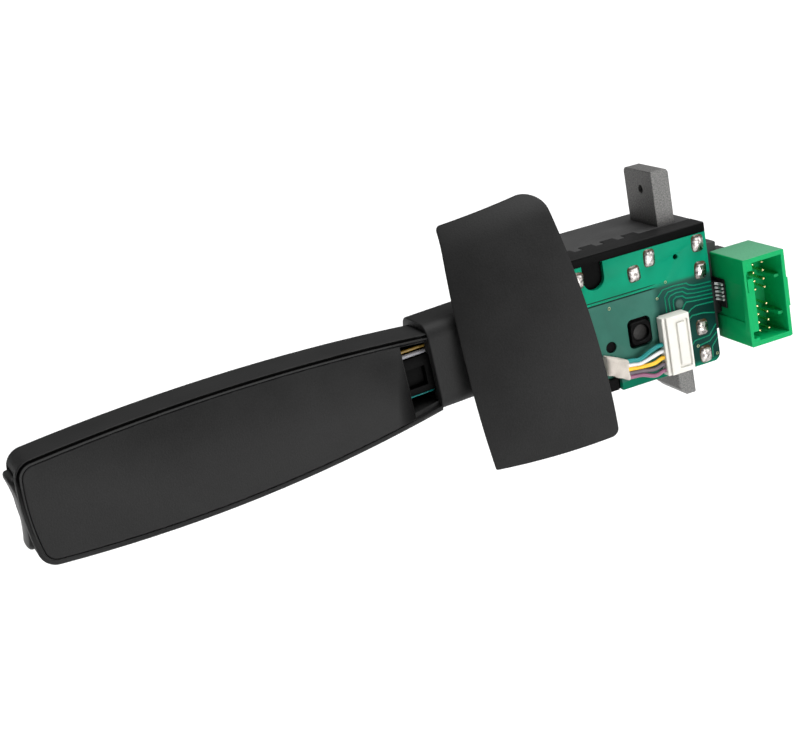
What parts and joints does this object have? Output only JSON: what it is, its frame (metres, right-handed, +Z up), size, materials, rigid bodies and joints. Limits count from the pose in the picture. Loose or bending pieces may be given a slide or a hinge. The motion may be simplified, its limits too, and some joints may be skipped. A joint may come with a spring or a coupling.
{
  "type": "combination stalk switch",
  "caption": "Steering column combination stalk switch: lever with tip rocker and shield on a two-axis pivot in a housing with bracket bar, circuit board, wire harness and vehicle connector.",
  "frame": {"origin": "mouth of the locating dimple on the -X face of the bracket bar's upper lug", "axes": "+X towards the vehicle connector and away from the lever, +Z up along the bracket bar, -Y towards the driver"},
  "size_m": [0.225, 0.049, 0.0755],
  "materials": {
    "bracket_zinc": "die-cast, fine sandy grain",
    "housing_black": "moulded glass-filled nylon, satin",
    "board_green": "solder-masked glass-epoxy laminate",
    "solder_tin": "tinned and reflowed",
    "connector_green": "moulded polyester, glossy",
    "contact_gold": "gold-plated",
    "plug_white": "moulded natural nylon",
    "sleeve_beige": "soft moulded elastomer",
    "wire_teal": "PVC insulation",
    "wire_white": "PVC insulation",
    "wire_yellow": "PVC insulation",
    "wire_grey": "PVC insulation",
    "wire_pink": "PVC insulation",
    "wire_ochre": "PVC insulation",
    "steel_ground": "ground and bright",
    "spring_steel": "drawn wire",
    "yoke_acetal": "moulded acetal, natural",
    "lever_black": "moulded ABS, fine matt grain",
    "rocker_black": "moulded ABS, semi-gloss",
    "switch_black": "moulded, with a metal top"
  },
  "bodies": {
    "housing": {"mounting_bracket": "bracket_zinc", "housing_shell": "housing_black", "housing_cover": "housing_black", "circuit_board": "board_green", "solder_joints": "solder_tin", "vehicle_connector": "connector_green", "connector_pins": "contact_gold", "lead_strip": "housing_black", "connector_leads": "solder_tin", "board_header": "plug_white", "harness_plug": "plug_white", "harness_sleeve": "sleeve_beige", "wire_teal": "wire_teal", "wire_white": "wire_white", "wire_yellow": "wire_yellow", "wire_grey": "wire_grey", "wire_pink": "wire_pink", "pivot_pin": "steel_ground", "detent_cam": "yoke_acetal", "bracket_screws": "steel_ground"},
    "yoke": {"swing_yoke": "yoke_acetal", "hinge_pin": "steel_ground", "return_spring": "spring_steel", "detent_spring": "spring_steel"},
    "plunger": {"detent_plunger": "steel_ground"},
    "lever": {"lever_core": "lever_black", "lever_shell": "lever_black", "cover_panel": "lever_black", "collar": "lever_black", "shield": "lever_black", "lever_board": "board_green", "tact_switches": "switch_black", "lever_wire_white": "wire_white", "lever_wire_ochre": "wire_ochre", "lever_wire_teal": "wire_teal", "rocker_pin": "steel_ground", "shell_screws": "steel_ground"},
    "rocker": {"tip_rocker": "rocker_black"}
  },
  "joints": [
    {"name": "lever_up_down", "type": "hinge", "parent": "housing", "child": "yoke", "pos_m": [-0.0149, 0, -0.0369], "axis": [0, 1, 0], "range_deg": [-9, 9]},
    {"name": "lever_push_pull", "type": "hinge", "parent": "yoke", "child": "lever", "pos_m": [-0.03343, -0.005, -0.02826], "axis": [-0.0471, 0, 0.9989], "range_deg": [-4, 4], "stiffness_Nm_per_rad": 6},
    {"name": "rocker_tilt", "type": "hinge", "parent": "lever", "child": "rocker", "pos_m": [-0.19016, -0.0065, -0.03555], "axis": [0, 1, 0], "range_deg": [-6, 6], "stiffness_Nm_per_rad": 0.6},
    {"name": "plunger_slide", "type": "slide", "parent": "yoke", "child": "plunger", "axis": [-0.0471, 0, 0.9989], "range_m": [0, 0.0008], "stiffness_N_per_m": 1500, "deforming": ["detent_spring"]}
  ]
}
